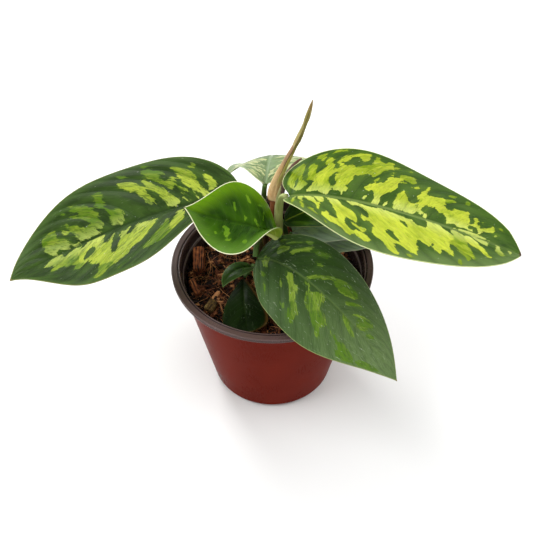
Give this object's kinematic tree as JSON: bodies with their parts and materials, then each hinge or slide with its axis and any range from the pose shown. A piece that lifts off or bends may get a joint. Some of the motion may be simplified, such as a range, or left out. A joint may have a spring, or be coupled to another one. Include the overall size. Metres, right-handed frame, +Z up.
{
  "type": "potted foliage plant",
  "caption": "Potted camouflage homalomena: broad leaves mottled in greens and lime on arching stems, a closed tan spathe, husk mix and a two-tone tapered nursery pot.",
  "frame": {"origin": "middle of the flat underside of the pot, on the surface it stands on", "axes": "+Z up; +X towards the large bright leaf on the right of the front view; -Y towards the front, where one leaf hangs over the rim"},
  "size_m": [0.255, 0.1396, 0.1811],
  "materials": {
    "pot_plastic": "thin brick red outside, mauve brown lip and inside, satin",
    "planting_mix": "damp fibrous husk and bark mix, matt",
    "coconut_husk": "torn fibrous husk, matt",
    "stalk": "reddish brown, smooth",
    "dry_sheath": "dry, mauve brown, thin",
    "petiole": "olive green, smooth, satin",
    "spathe": "dry tan to olive, satin, with long fibres",
    "leaf_bright": "glossy, lime and yellow patches on green, pale margin",
    "leaf_mottled": "glossy, lime patches on green, pale margin",
    "leaf_dark": "satin dark green, a few dull lime streaks",
    "leaf_new": "fresh green, cream margin, a few lime flecks",
    "leaf_pale": "glossy, seen against the light, cream flecks",
    "leaf_grey": "old leaf, dull grey green with a sheen"
  },
  "bodies": {
    "root": {"pot": "pot_plastic", "soil": "planting_mix", "husk_chunk": "coconut_husk", "husk_chip_front_left": "coconut_husk", "husk_chip_left": "coconut_husk", "husk_chip_right": "coconut_husk", "husk_chip_back": "coconut_husk", "husk_chip_back_left": "coconut_husk", "spathe_stalk": "stalk", "dry_sheath": "dry_sheath", "petiole_left": "petiole", "petiole_right": "petiole", "petiole_front": "petiole", "petiole_young": "petiole", "petiole_back": "petiole", "petiole_shaded": "petiole", "petiole_low_right": "petiole", "petiole_lowest_right": "petiole", "petiole_on_soil": "petiole", "petiole_small": "petiole", "spathe": "spathe", "leaf_left": "leaf_mottled", "leaf_right": "leaf_bright", "leaf_front": "leaf_dark", "leaf_young": "leaf_new", "leaf_back": "leaf_pale", "leaf_shaded": "leaf_dark", "leaf_low_right": "leaf_grey", "leaf_lowest_right": "leaf_grey", "leaf_on_soil": "leaf_dark", "leaf_small": "leaf_mottled"}
  },
  "joints": []
}
